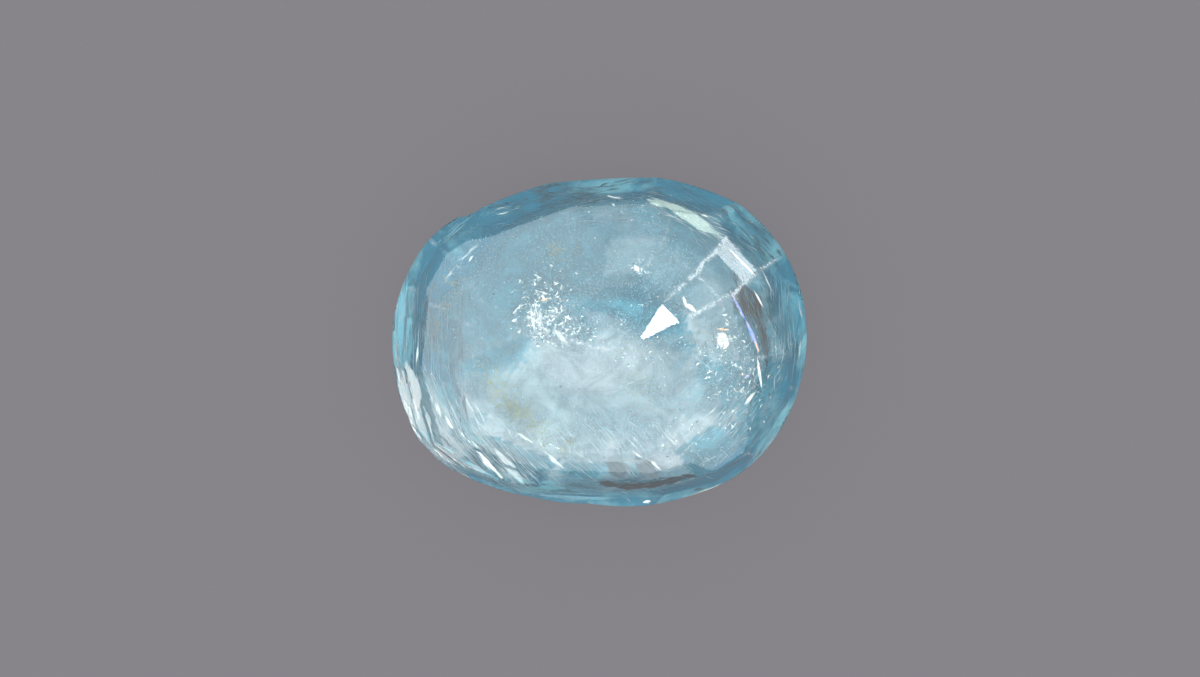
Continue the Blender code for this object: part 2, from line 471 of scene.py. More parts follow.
for name, (*sheet, tint, pale_tint, (thin, thick)) in VEILS.items():
    veil = veil_mesh(name, *sheet)
    haze, tree, shader, place = new_finish(name)
    drift = add_range(tree, add_noise(tree, place, 0.75 * PER_MM, 6.0, 0.66, 0.8), 0.32, 0.68, -0.65, 0.55)
    # The pale attribute brings the painted facet shade into the veil's tint.
    drift = add_range(tree, add_math(tree, "ADD", drift, add_attribute(tree, "pale")), 0.0, 1.0, 0.0, 1.0)
    wire(tree, add_mix(tree, drift, VEIL_TINTS[tint], VEIL_TINTS[pale_tint]), shader.inputs["Base Color"])
    wisps = add_noise(tree, place, 0.9 * PER_MM, 7.0, 0.62, 0.9)
    cover = add_range(tree, wisps, 0.32, 0.66, thin, thick)
    cover = add_math(tree, "MULTIPLY", cover, add_attribute(tree, "edge"))
    wire(tree, cover, shader.inputs["Alpha"])
    wire(tree, add_range(tree, wisps, 0.3, 0.7, 0.65, 0.45), shader.inputs["Roughness"])
    shader.inputs["Metallic"].default_value = 0.7
    veil.data.materials.append(haze)
    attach(veil, "root")

# Feathers
# Healed cracks just under the facets. Their streaked faces lie like little mirrors: some flash white and
# some are milky. The grey and dark ones are painted shade, sheets coloured grey or near black where the
# stone shows shade, and the rainbow ones carry painted rainbow glints.
FEATHER_CELL = 0.045 * MM
FEATHER_DEPTH = 0.02 * MM
FEATHER_STEP = 0.6 * MM
FEWEST_CELLS = 4
STREAK_SHIFT = 3.7
END_TAPER = 0.5
PAST_THE_OVAL = 1.1
# Each feather: its middle, its half length and half width, its heading, how far it follows the facet's
# slope, its strength, and its tone from the first tint of its kind to the second.
FEATHERS = {
    "bright_feathers": (
        ((-5.19, -1.73), (1.25, 0.40), -72, 0.40, 1.3, 0.0),
        ((-4.15, -3.03), (0.66, 0.20), -34, 0.40, 1.8, 0.0),
        ((-3.45, -3.45), (0.60, 0.10), -30, 0.50, 0.7, 0.4),
        ((-2.40, -3.37), (0.70, 0.12), -52, 0.60, 1.2, 0.0),
        ((-3.05, -3.20), (0.70, 0.14), -50, 0.60, 1.0, 0.0),
        ((-4.04, -2.22), (0.34, 0.07), -55, 0.60, 0.8, 0.1),
        ((-4.42, -1.85), (0.60, 0.13), -76, 0.60, 0.45, 0.0),
        ((-3.60, -2.60), (0.60, 0.12), -48, 0.60, 0.45, 0.0),
        ((-3.48, -1.77), (0.95, 0.05), -65, 0.65, 0.40, 0.2),
        ((-2.06, -2.53), (0.40, 0.06), -34, 0.70, 0.40, 0.0),
        ((2.45, 3.33), (1.15, 0.27), -31, 0.60, 1.5, 1.3),
        ((1.70, 3.72), (0.60, 0.16), -20, 0.60, 1.1, 1.2),
        ((-1.00, 0.11), (0.55, 0.11), -45, 0.70, 0.8, 0.1),
        ((-1.71, 0.62), (0.50, 0.20), -80, 0.70, 0.8, 0.0),
        ((3.30, 0.14), (0.24, 0.15), -20, 0.70, 1.6, 0.0),
        ((3.38, -0.05), (0.24, 0.14), 60, 0.70, 1.6, 0.0),
        ((3.25, -0.02), (0.16, 0.10), -50, 0.70, 1.6, 0.0),
        ((2.30, 1.08), (0.20, 0.06), -75, 0.70, 2.0, 0.0),
        ((2.46, 0.93), (0.24, 0.08), -35, 0.70, 2.0, 0.0),
        ((0.73, -3.29), (0.34, 0.07), -53, 0.65, 0.7, 0.0),
        ((1.51, -3.30), (0.32, 0.06), -41, 0.65, 0.6, 0.0),
        ((1.95, -2.58), (0.34, 0.17), -45, 0.70, 0.6, 0.0),
        ((0.40, -2.79), (0.24, 0.12), -40, 0.70, 0.5, 0.0),
        ((1.03, -3.01), (0.26, 0.06), -35, 0.70, 0.5, 0.0),
        ((-0.45, -3.05), (0.55, 0.06), -40, 0.70, 0.45, 0.0),
        ((-1.25, -3.15), (0.50, 0.08), -45, 0.70, 0.40, 0.1),
        ((4.31, -0.82), (0.55, 0.06), -79, 0.65, 1.2, 0.0),
        ((4.07, -1.53), (0.30, 0.09), 50, 0.65, 0.9, 0.0),
        ((3.89, 2.13), (0.70, 0.04), -46, 0.65, 1.6, 0.0),
        ((4.30, 1.19), (0.40, 0.04), -60, 0.65, 1.4, 0.0),
        ((1.30, -4.34), (0.14, 0.09), 20, 0.50, 1.5, 0.0),
        ((2.86, 3.43), (0.15, 0.035), -20, 0.60, 1.5, 0.0),
        ((-3.49, 2.26), (0.13, 0.035), 60, 0.60, 1.5, 0.0),
        ((-3.60, 2.38), (0.60, 0.07), 42, 0.60, 0.6, 0.5),
        ((-4.05, 1.85), (0.45, 0.05), 55, 0.60, 0.6, 0.4),
        ((-2.60, 3.56), (0.55, 0.14), 8, 0.50, 0.4, 1.0),
        ((0.40, 3.92), (0.32, 0.07), -15, 0.55, 0.9, 0.1),
        ((1.01, 1.97), (0.16, 0.09), -60, 0.70, 1.5, 0.0),
        ((5.45, -0.30), (0.60, 0.05), 86, 0.50, 0.8, 0.3),
        ((5.48, 0.85), (0.45, 0.05), 98, 0.50, 0.8, 0.3),
        ((-4.95, -0.35), (0.50, 0.05), 86, 0.55, 0.6, 0.4),
        ((2.80, -4.05), (0.60, 0.07), 22, 0.45, 0.7, 0.9),
        ((4.55, 1.65), (0.50, 0.04), -62, 0.60, 0.8, 0.2),
    ),
    # Near-black to dark teal sheets put where the stone shows shade: painted shade.
    "painted_shade_feathers": (
        ((0.25, -3.83), (0.32, 0.13), -12, 0.60, 2.0, 0.0),
        ((0.75, -3.88), (0.50, 0.15), -4, 0.60, 2.4, 0.0),
        ((1.35, -3.84), (0.55, 0.15), 6, 0.60, 2.4, 0.0),
        ((1.95, -3.74), (0.45, 0.12), 14, 0.60, 2.4, 0.0),
        ((2.42, -3.62), (0.26, 0.09), -4, 0.60, 1.8, 0.0),
        ((-1.05, -1.20), (0.045, 0.03), 20, 0.70, 1.8, 0.0),
        ((-2.86, 1.29), (0.05, 0.03), -30, 0.70, 1.8, 0.0),
        ((-3.90, 2.93), (0.04, 0.03), 40, 0.60, 1.8, 0.0),
        ((-3.03, 3.67), (0.04, 0.03), 10, 0.60, 1.8, 0.0),
        ((-0.60, -3.85), (0.55, 0.10), -14, 0.60, 0.7, 0.3),
        ((4.07, 1.05), (0.62, 0.38), -58, 0.65, 2.0, 0.05),
        ((4.42, 0.05), (0.80, 0.13), -80, 0.65, 1.7, 0.2),
        ((3.80, 1.00), (0.50, 0.24), -62, 0.65, 1.3, 0.2),
        ((-4.78, 0.66), (0.62, 0.035), 85, 0.60, 0.9, 0.5),
        ((-4.03, 0.47), (0.34, 0.06), 88, 0.65, 0.9, 0.6),
        ((-3.76, -0.85), (0.42, 0.09), -84, 0.65, 0.8, 0.7),
        ((-3.78, -1.42), (0.25, 0.04), -60, 0.65, 0.8, 0.3),
        ((-0.37, 3.95), (0.40, 0.17), -30, 0.50, 0.9, 0.8),
        ((-1.93, 3.37), (0.32, 0.11), 5, 0.55, 0.8, 0.9),
        ((1.44, 4.06), (0.30, 0.14), -10, 0.50, 0.8, 0.9),
        ((3.41, 3.53), (0.18, 0.10), -45, 0.55, 1.0, 0.6),
        ((4.40, 2.38), (0.50, 0.14), -60, 0.55, 0.9, 1.0),
        ((4.89, 2.44), (0.16, 0.09), -50, 0.50, 1.0, 0.6),
        ((5.36, -0.27), (0.50, 0.07), 88, 0.50, 0.9, 1.0),
        ((5.15, 0.60), (0.70, 0.06), 95, 0.55, 0.7, 1.0),
        ((4.15, -3.04), (0.26, 0.15), 10, 0.50, 0.9, 0.9),
        ((3.60, -3.29), (0.34, 0.08), 20, 0.55, 0.8, 0.9),
        ((2.70, -4.00), (0.18, 0.11), 0, 0.50, 1.0, 0.7),
        ((-1.03, -4.03), (0.95, 0.13), -6, 0.50, 0.7, 1.0),
        ((-1.66, -3.53), (0.34, 0.09), -60, 0.60, 0.8, 0.6),
        ((-2.60, -2.95), (0.55, 0.05), -52, 0.65, 0.6, 0.6),
        ((-4.20, -2.65), (0.35, 0.04), -45, 0.65, 0.7, 0.7),
        ((-2.54, 3.78), (0.05, 0.04), 20, 0.55, 1.5, 0.0),
    ),
    "milky_feathers": (
        ((-5.12, -1.25), (0.80, 0.38), -77, 0.75, 2.4, 0.0),
        ((-4.80, -2.15), (0.85, 0.26), -70, 0.75, 2.2, 0.1),
        ((-4.15, -3.03), (0.66, 0.20), -36, 0.75, 1.7, 0.2),
        ((-2.45, -3.35), (0.75, 0.15), -50, 0.80, 1.5, 0.1),
        ((-3.30, -3.45), (0.70, 0.15), -28, 1.0, 1.1, 0.5),
        ((-5.35, 0.60), (1.40, 0.26), 88, 0.80, 1.2, 1.0),
        ((4.55, -2.80), (0.95, 0.24), 46, 0.80, 1.2, 0.9),
        ((-0.70, -4.20), (1.60, 0.15), -3, 0.80, 1.1, 1.0),
        ((-3.95, 3.05), (0.70, 0.14), 40, 1.0, 0.7, 1.0),
    ),
    # Grey sheets where the stone shows shade: painted shade.
    "painted_grey_shade_feathers": (
        ((0.46, -3.40), (0.46, 0.28), -40, 0.65, 1.8, 0.2),
        ((1.27, -3.40), (0.46, 0.28), -45, 0.65, 1.8, 0.5),
        ((3.30, -1.75), (0.22, 0.06), -80, 0.70, 0.6, 0.0),
    ),
    # Blue to orange mirror sheets: painted rainbow glints, standing in for the play of colour on thin
    # cracks.
    "painted_rainbow_feathers": (
        ((3.78, 0.90), (0.60, 0.045), -62, 0.65, 1.6, 0.15),
        ((4.12, 0.20), (0.50, 0.075), -66, 0.65, 1.7, 0.0),
        ((4.24, -0.10), (0.30, 0.03), -70, 0.65, 1.6, 1.0),
        ((3.33, 0.34), (0.20, 0.04), -5, 0.70, 1.6, 0.9),
        ((0.05, 0.03), (0.09, 0.05), -40, 0.70, 1.5, 0.7),
        ((-1.47, 1.15), (0.13, 0.04), 20, 0.70, 1.4, 1.0),
        ((4.00, -0.92), (0.10, 0.05), 20, 0.70, 1.4, 0.3),
    ),
}
# Each kind: its first and second tint, how metallic it is, and how rough.
FEATHER_TINTS = {
    "bright_feathers": ((0.98, 1.0, 1.0, 1.0), (0.50, 0.64, 0.60, 1.0), 1.0, 0.22),
    # Painted shade: near black to dark teal.
    "painted_shade_feathers": ((0.004, 0.015, 0.025, 1.0), (0.02, 0.22, 0.30, 1.0), 0.3, 0.45),
    "milky_feathers": ((0.98, 1.0, 1.0, 1.0), (0.32, 0.80, 0.94, 1.0), 0.6, 0.45),
    # Painted shade: dark grey-blue to grey.
    "painted_grey_shade_feathers": ((0.14, 0.24, 0.29, 1.0), (0.27, 0.37, 0.42, 1.0), 0.6, 0.5),
    # Painted rainbow glints: blue to orange.
    "painted_rainbow_feathers": ((0.16, 0.36, 1.0, 1.0), (1.0, 0.62, 0.36, 1.0), 1.0, 0.15),
}


def feathers_net(name, feathers):
    """One mesh of small oval sheets, with each point's place along and across its own sheet."""
    net = bmesh.new()
    layers = {key: net.verts.layers.float.new(key) for key in ("along", "across", "edge", "tone")}
    for number, (middle, (half_length, half_width), heading, follow, strength, tone) in enumerate(feathers):
        c, s = math.cos(math.radians(heading)), math.sin(math.radians(heading))
        long_cells = max(FEWEST_CELLS, int(half_length * MM / FEATHER_CELL))
        wide_cells = max(FEWEST_CELLS, int(half_width * MM / FEATHER_CELL))
        found = {}
        for i in range(-long_cells, long_cells + 1):
            for j in range(-wide_cells, wide_cells + 1):
                taper = 1.0 - END_TAPER * abs(i / long_cells)
                u, v = i / long_cells * half_length, taper * j / wide_cells * half_width
                x, y = (middle[0] + u * c - v * s) * MM, (middle[1] + u * s + v * c) * MM
                heights = column(x, y)
                if heights is not None and math.hypot(i / long_cells, j / wide_cells) < PAST_THE_OVAL:
                    found[i, j] = (x, y, heights[1] + CLEAR_OF_SURFACE, u, v)
        lowest = min(spot[2] for spot in found.values())
        corners, steps = {}, {}
        for (i, j), (x, y, top, u, v) in found.items():
            steps[i, j] = int((top - lowest) / FEATHER_STEP)
            base = lowest + steps[i, j] * FEATHER_STEP
            corner = net.verts.new((x, y, base - FEATHER_DEPTH + follow * (top - base)))
            corner[layers["along"]] = u + STREAK_SHIFT * number
            corner[layers["across"]] = v
            corner[layers["edge"]] = strength * (1 - (i / long_cells) ** 2 - (j / wide_cells) ** 2)
            corner[layers["tone"]] = tone
            corners[i, j] = corner
        for (i, j) in corners:
            around = [(i + a, j + b) for a, b in ((0, 0), (1, 0), (1, 1), (0, 1))]
            if all(steps.get(spot) == steps[i, j] for spot in around):
                net.faces.new([corners[spot] for spot in around])
    loose = [corner for corner in net.verts if not corner.link_faces]
    bmesh.ops.delete(net, geom=loose, context="VERTS")
    mesh = bpy.data.meshes.new(name)
    net.to_mesh(mesh)
    net.free()
    return new_piece(mesh)


for name, feathers in FEATHERS.items():
    first_tint, second_tint, metal, rough = FEATHER_TINTS[name]
    sheets = feathers_net(name, feathers)
    finish, tree, shader, place = new_finish(name)
    ways = tree.nodes.new("ShaderNodeCombineXYZ")
    wire(tree, add_math(tree, "MULTIPLY", add_attribute(tree, "along"), 1.3), ways.inputs["X"])
    wire(tree, add_math(tree, "MULTIPLY", add_attribute(tree, "across"), 12.0), ways.inputs["Y"])
    streaks = add_noise(tree, ways.outputs["Vector"], 1.0, 7.0, 0.72, 0.8)
    torn = add_range(tree, streaks, 0.32, 0.68, -1.0, 1.0)
    cover = add_range(tree, add_math(tree, "ADD", add_attribute(tree, "edge"), torn), 0.35, 0.85, 0.0, 1.0)
    wire(tree, cover, shader.inputs["Alpha"])
    tint = add_range(tree, add_math(tree, "ADD", add_attribute(tree, "tone"), torn), 0.0, 1.0, 0.0, 1.0)
    wire(tree, add_mix(tree, tint, first_tint, second_tint), shader.inputs["Base Color"])
    wire(tree, add_range(tree, streaks, 0.3, 0.7, rough, rough + 0.15), shader.inputs["Roughness"])
    shader.inputs["Metallic"].default_value = metal
    sheets.data.materials.append(finish)
    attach(sheets, "root")

# Silk
# Fine straight needles of another mineral that grew inside along the crystal's own directions. They lie
# in bundles, upright on the left and aslant below, and shine as white threads where light crosses them.
NEEDLE_SIDES = 3
THINNEST_NEEDLE = 0.003
MOST_THICKENING = 0.010


def needles_mesh(name, middles, directions, lengths, radii):
    """One mesh of straight needles, each pointed at both ends."""
    count = len(middles)
    side = np.cross(directions, np.array((0.13, 0.21, 1.0)))
    side /= np.linalg.norm(side, axis=1)[:, None]
    other = np.cross(directions, side)
    corners = np.empty((count, NEEDLE_SIDES + 2, 3))
    corners[:, 0] = middles - directions * lengths[:, None] / 2
    corners[:, 1] = middles + directions * lengths[:, None] / 2
    for i in range(NEEDLE_SIDES):
        turn = 2 * math.pi * i / NEEDLE_SIDES
        spoke = side * math.cos(turn) + other * math.sin(turn)
        corners[:, 2 + i] = middles + spoke * radii[:, None]
    faces = []
    for i in range(NEEDLE_SIDES):
        here, after = 2 + i, 2 + (i + 1) % NEEDLE_SIDES
        faces += [[0, after, here], [1, here, after]]
    faces = np.array(faces)
    faces = (faces[None] + (NEEDLE_SIDES + 2) * np.arange(count)[:, None, None]).reshape(-1, 3)
    mesh = bpy.data.meshes.new(name)
    mesh.from_pydata(corners.reshape(-1, 3).tolist(), [], faces.tolist())
    return new_piece(mesh)


def sow_silk(seed, count, centre, reach, lean, heading, spread, lengths, depths):
    """Needles in one oval patch: where each is, which way it points, how long and how thick it is."""
    random.seed(seed)
    sown = []
    while len(sown) < count:
        u, v = random.gauss(0, 0.45), random.gauss(0, 0.45)
        c, s = math.cos(lean), math.sin(lean)
        x = (centre[0] + u * reach[0] * c - v * reach[1] * s) * MM
        y = (centre[1] + u * reach[0] * s + v * reach[1] * c) * MM
        turn = math.radians(heading) + random.gauss(0, spread)
        length = random.uniform(*lengths) * MM
        way = Vector((math.cos(turn), math.sin(turn), random.gauss(0, 0.05))).normalized()
        heights = [column(x + way.x * length * end, y + way.y * length * end) for end in (-0.5, 0, 0.5)]
        if None in heights or mottle(x, y, 0, 1.3, seed) < random.uniform(0.3, 0.6):
            continue
        z = heights[1][1] - random.uniform(*depths) * MM
        ends = (z - way.z * length / 2, z + way.z * length / 2)
        if z > heights[1][0] and ends[0] < heights[0][1] and ends[1] < heights[2][1]:
            radius = (THINNEST_NEEDLE + MOST_THICKENING * random.random() ** 4) * MM
            sown.append(((x, y, z), tuple(way), length, radius))
    return sown


# Each patch: its seed, how many needles, its middle and reach, its lean, the needles' heading and how far
# they stray from it, their lengths, and how deep they lie.
SILK_PATCHES = (
    (31, 400, (-4.9, 0.1), (0.9, 3.0), 0.0, 92, 0.04, (0.4, 1.5), (0.02, 0.8)),
    (32, 300, (-4.3, -2.2), (0.9, 2.4), 0.45, -62, 0.07, (0.3, 1.2), (0.0, 0.4)),
    (33, 300, (-2.9, -3.2), (1.9, 0.9), -0.45, -50, 0.07, (0.3, 1.3), (0.0, 0.6)),
    (34, 200, (0.8, -3.0), (3.6, 1.3), 0.05, -50, 0.08, (0.2, 0.9), (0.0, 0.9)),
    (35, 150, (3.6, -2.0), (1.8, 1.4), 0.8, 55, 0.10, (0.2, 0.8), (0.0, 0.9)),
    (36, 300, (3.0, 3.0), (2.2, 0.9), -0.7, -40, 0.15, (0.2, 0.9), (0.0, 0.6)),
    (37, 60, (5.0, 0.4), (0.7, 2.6), 0.1, 84, 0.05, (0.3, 1.2), (0.0, 0.8)),
    (38, 200, (-0.8, 3.8), (3.6, 0.7), 0.05, 8, 0.25, (0.2, 0.8), (0.0, 0.8)),
)
silk = [needle for patch in SILK_PATCHES for needle in sow_silk(*patch)]
threads = needles_mesh("silk_needles", *(np.array(measure) for measure in zip(*silk)))
thread_finish, tree, shader, place = new_finish("silk_thread")
glints = add_range(tree, add_noise(tree, place, 1.5 * PER_MM), 0.3, 0.7, 0.0, 1.0)
SILK_SHADE = (0.80, 0.92, 0.98, 1.0)
SILK_SHINE = (0.98, 1.0, 1.0, 1.0)
wire(tree, add_mix(tree, glints, SILK_SHADE, SILK_SHINE), shader.inputs["Base Color"])
wire(tree, add_range(tree, glints, 0.0, 1.0, 0.5, 0.25), shader.inputs["Roughness"])
shader.inputs["Metallic"].default_value = 0.6
threads.data.materials.append(thread_finish)
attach(threads, "root")

# Fibre bundles
# Places where the silk has grown together into flat glassy ribbons. They lie close under the facets. The
# white ones are white silk; the grey-blue ones are painted shade, ribbons coloured dark where the stone
# shows shade.
RIBBON_STEP = 0.06 * MM
RIBBON_FOLLOW = 0.5
RIBBON_DEPTHS = (-0.04, 0.25)
RIBBON_THICKNESS = 0.25
RIBBON_SWAY = 0.08
# Each patch: its kind, its middle and reach, its lean, the ribbons' heading and how far they stray from
# it, how many there are, their lengths and their widths.
RIBBON_PATCHES = (
    ("white_ribbons", (-5.12, -1.65), (0.24, 1.2), 0.28, -73, 0.04, 70, (0.2, 1.1), (0.02, 0.07)),
    ("white_ribbons", (-4.3, -3.05), (0.55, 0.16), -0.75, -44, 0.05, 40, (0.2, 0.8), (0.02, 0.06)),
    ("white_ribbons", (-2.4, -3.35), (0.75, 0.09), -0.85, -49, 0.03, 50, (0.3, 1.1), (0.02, 0.06)),
    ("white_ribbons", (-5.3, 0.3), (0.35, 1.6), 0.0, 92, 0.04, 50, (0.3, 1.4), (0.02, 0.05)),
    ("white_ribbons", (-3.9, -3.0), (0.9, 0.45), -0.7, -44, 0.07, 60, (0.4, 1.4), (0.03, 0.12)),
    ("white_ribbons", (-2.6, -3.3), (0.9, 0.5), -0.5, -50, 0.06, 44, (0.4, 1.5), (0.02, 0.09)),
    ("white_ribbons", (0.5, -2.9), (2.6, 0.9), 0.0, -48, 0.09, 24, (0.2, 0.9), (0.02, 0.07)),
    ("white_ribbons", (3.2, -2.2), (1.2, 1.0), 0.7, 40, 0.25, 14, (0.2, 0.7), (0.02, 0.06)),
    ("white_ribbons", (5.0, -0.2), (0.4, 2.0), 0.0, 88, 0.06, 6, (0.4, 1.4), (0.02, 0.06)),
    ("white_ribbons", (2.4, 3.3), (1.8, 0.5), -0.4, -25, 0.12, 26, (0.2, 0.8), (0.02, 0.06)),
    # Dark grey-blue ribbons put where the stone shows shade: painted shade.
    ("painted_shade_ribbons", (-3.75, -0.2), (0.25, 1.7), 0.0, 95, 0.07, 46, (0.2, 0.9), (0.02, 0.07)),
    ("painted_shade_ribbons", (-4.6, 0.5), (0.3, 1.5), 0.0, 92, 0.06, 30, (0.3, 1.0), (0.02, 0.05)),
    ("painted_shade_ribbons", (-3.2, -2.9), (1.5, 0.6), -0.6, -50, 0.08, 34, (0.2, 1.0), (0.02, 0.06)),
    ("painted_shade_ribbons", (1.4, -3.72), (1.7, 0.12), 0.05, 6, 0.15, 60, (0.2, 0.7), (0.03, 0.10)),
    ("painted_shade_ribbons", (4.15, 0.9), (0.4, 1.0), 0.25, 105, 0.10, 50, (0.2, 0.9), (0.03, 0.12)),
    ("painted_shade_ribbons", (4.35, -0.4), (0.25, 1.0), -0.1, 80, 0.10, 30, (0.2, 0.8), (0.02, 0.08)),
    ("painted_shade_ribbons", (-0.9, 4.0), (2.6, 0.35), 0.08, 8, 0.2, 60, (0.2, 0.8), (0.03, 0.10)),
    ("painted_shade_ribbons", (4.3, 3.0), (0.9, 0.7), -0.7, -45, 0.1, 40, (0.2, 0.8), (0.03, 0.08)),
)
random.seed(71)
rng = np.random.default_rng(71)
laid = {"white_ribbons": [], "painted_shade_ribbons": []}
for name, centre, reach, lean, heading, spread, count, lengths, widths in RIBBON_PATCHES:
    found = 0
    while found < count:
        u, v = random.gauss(0, 0.5) * reach[0], random.gauss(0, 0.5) * reach[1]
        x = (centre[0] + u * math.cos(lean) - v * math.sin(lean)) * MM
        y = (centre[1] + u * math.sin(lean) + v * math.cos(lean)) * MM
        turn = math.radians(heading) + random.gauss(0, spread)
        length = random.uniform(*lengths) * MM
        half = Vector((math.cos(turn), math.sin(turn))) * length / 2
        tops = [column(x + half.x * end, y + half.y * end) for end in (-1, 0, 1)]
        if None in tops:
            continue
        beside = Vector((-half.y, half.x)).normalized() * RIBBON_STEP
        sides = [column(x + beside.x * end, y + beside.y * end) for end in (-1, 1)]
        if None in sides:
            continue
        rise = RIBBON_FOLLOW * (tops[2][1] - tops[0][1]) / 2
        way = Vector((half.x, half.y, rise)).normalized()
        bank_rise = RIBBON_FOLLOW * (sides[1][1] - sides[0][1]) / 2
        flat = Vector((beside.x, beside.y, bank_rise)).normalized()
        z = min(top for _, top in tops) - random.uniform(*RIBBON_DEPTHS) * MM
        laid[name].append(((x, y, z), tuple(way), tuple(flat), length, random.uniform(*widths) * MM))
        found += 1

# Each kind: its tints where it is dull and where it is bright, and how metallic it is.
RIBBON_TINTS = {
    "white_ribbons": ((0.86, 0.95, 1.0, 1.0), (1.0, 1.0, 1.0, 1.0), 0.6),
    # Painted shade: near black to dark grey-blue.
    "painted_shade_ribbons": ((0.02, 0.12, 0.17, 1.0), (0.08, 0.34, 0.45, 1.0), 0.0),
}
for name, (dull, bright, metal) in RIBBON_TINTS.items():
    middles, ways, level, lengths, widths = (np.array(part) for part in zip(*laid[name]))
    level += RIBBON_SWAY * rng.normal(size=ways.shape)
    level -= ways * np.sum(level * ways, axis=1)[:, None]
    level /= np.linalg.norm(level, axis=1)[:, None]
    axes = (ways, level, np.cross(ways, level))
    ribbons = flakes_mesh(name, middles, axes, lengths, widths, RIBBON_THICKNESS)
    finish, tree, shader, place = new_finish(name)
    glow = add_range(tree, add_noise(tree, place, 5.0 * PER_MM), 0.3, 0.7, 0.0, 1.0)
    wire(tree, add_mix(tree, glow, dull, bright), shader.inputs["Base Color"])
    wire(tree, add_range(tree, glow, 0.0, 1.0, 0.5, 0.3), shader.inputs["Roughness"])
    shader.inputs["Metallic"].default_value = metal
    ribbons.data.materials.append(finish)
    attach(ribbons, "root")

# Sparkling crystals
# Tiny bright platelets and pinpoint crystals in clusters, most of them beside the keel and on the right.
# Each is a flat natural face, so it mirrors the light as a spark.
SPARK_DEPTHS = (-0.05, 0.35)
SPARK_TILT = 0.22
SPARK_THICKNESS = 0.1
# Each patch: its middle and reach, how many there are, and their smallest and largest size.
SPARK_PATCHES = (
    ((-1.5, 0.85), (0.70, 0.80), 260, (0.04, 0.24)),
    ((-0.9, 0.35), (1.0, 0.4), 110, (0.04, 0.17)),
    ((3.6, -0.5), (0.9, 1.2), 240, (0.04, 0.20)),
    ((3.35, 0.05), (0.20, 0.16), 24, (0.08, 0.20)),
    ((4.1, -1.3), (0.7, 0.9), 150, (0.04, 0.18)),
    ((1.1, 1.95), (0.25, 0.25), 30, (0.05, 0.18)),
    ((0.9, 3.6), (1.4, 0.5), 130, (0.03, 0.12)),
    ((-3.6, 3.1), (0.6, 0.35), 60, (0.03, 0.11)),
    ((1.1, -0.3), (1.2, 0.9), 90, (0.03, 0.11)),
    ((2.2, -2.6), (1.6, 0.9), 110, (0.03, 0.12)),
    ((0.0, 0.0), (5.0, 4.0), 420, (0.015, 0.07)),
)
random.seed(41)
rng = np.random.default_rng(41)
spots, spans = [], []
for centre, reach, count, size in SPARK_PATCHES:
    found = 0
    while found < count:
        x = (centre[0] + random.gauss(0, 0.5) * reach[0]) * MM
        y = (centre[1] + random.gauss(0, 0.5) * reach[1]) * MM
        heights = column(x, y)
        if heights is None:
            continue
        spots.append((x, y, heights[1] - random.uniform(*SPARK_DEPTHS) * MM))
        spans.append(size[0] * MM + (size[1] - size[0]) * MM * random.random() ** 2.5)
        found += 1
spans = np.array(spans)
axes = random_axes(rng, len(spots), SPARK_TILT)
widths = spans * rng.uniform(0.35, 1.0, len(spans))
sparks = flakes_mesh("spark_platelets", np.array(spots), axes, spans, widths, SPARK_THICKNESS)
spark_finish, tree, shader, place = new_finish("spark_face")
tints = add_range(tree, add_noise(tree, place, 4.0 * PER_MM), 0.35, 0.65, 0.0, 1.0)
wire(tree, add_mix(tree, tints, (0.90, 0.97, 1.0, 1.0), (1.0, 0.97, 0.92, 1.0)), shader.inputs["Base Color"])
wire(tree, add_range(tree, tints, 0.0, 1.0, 0.15, 0.32), shader.inputs["Roughness"])
shader.inputs["Metallic"].default_value = 1.0
sparks.data.materials.append(spark_finish)
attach(sparks, "root")

# Iron stains
# Rust from old ground water that crept into cracks and dried there as yellow-brown crumbs. Most of it
# lies in one slanting streak between the keel and the lower left of the rim.
STAIN_DEPTHS = (0.02, 0.5)
STAIN_SIZE = (0.02, 0.06)
STAIN_TILT = 0.6
STAIN_NARROWNESS = 0.7
STAIN_THICKNESS = 0.2
# Each patch: its middle and reach, its lean, and how many crumbs it has.
STAIN_PATCHES = (
    ((-2.45, -1.45), (1.35, 0.40), -0.85, 1100),
    ((-2.0, -2.0), (0.9, 0.30), -0.6, 350),
    ((-4.0, 1.4), (0.35, 0.8), -0.3, 330),
    ((-1.2, 2.4), (0.5, 0.35), 0.4, 240),
    ((-4.3, 0.3), (0.25, 0.8), 0.0, 260),
    ((-1.1, -2.7), (0.5, 0.25), 0.0, 200),
    ((0.9, -0.9), (0.5, 0.9), 0.2, 200),
)
random.seed(51)
rng = np.random.default_rng(51)
spots = []
for centre, reach, lean, count in STAIN_PATCHES:
    found = 0
    while found < count:
        u, v = random.gauss(0, 0.45) * reach[0], random.gauss(0, 0.45) * reach[1]
        x = (centre[0] + u * math.cos(lean) - v * math.sin(lean)) * MM
        y = (centre[1] + u * math.sin(lean) + v * math.cos(lean)) * MM
        heights = column(x, y)
        if heights is None or mottle(x, y, 0, 2.2, 6.0) < random.uniform(0.3, 0.62):
            continue
        spots.append((x, y, heights[1] - random.uniform(*STAIN_DEPTHS) * MM))
        found += 1
spans = rng.uniform(*STAIN_SIZE, len(spots)) * MM
axes = random_axes(rng, len(spots), STAIN_TILT)
widths = spans * STAIN_NARROWNESS
rust = flakes_mesh("iron_stains", np.array(spots), axes, spans, widths, STAIN_THICKNESS)
rust_finish, tree, shader, place = new_finish("iron_stain")
shade = add_range(tree, add_noise(tree, place, 3.0 * PER_MM), 0.35, 0.65, 0.0, 1.0)
RUST_DARK = (0.58, 0.52, 0.30, 1.0)
RUST_PALE = (0.74, 0.72, 0.50, 1.0)
wire(tree, add_mix(tree, shade, RUST_DARK, RUST_PALE), shader.inputs["Base Color"])
wire(tree, add_range(tree, shade, 0.0, 1.0, 0.6, 0.9), shader.inputs["Roughness"])
shader.inputs["Metallic"].default_value = 0.4
rust.data.materials.append(rust_finish)
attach(rust, "root")

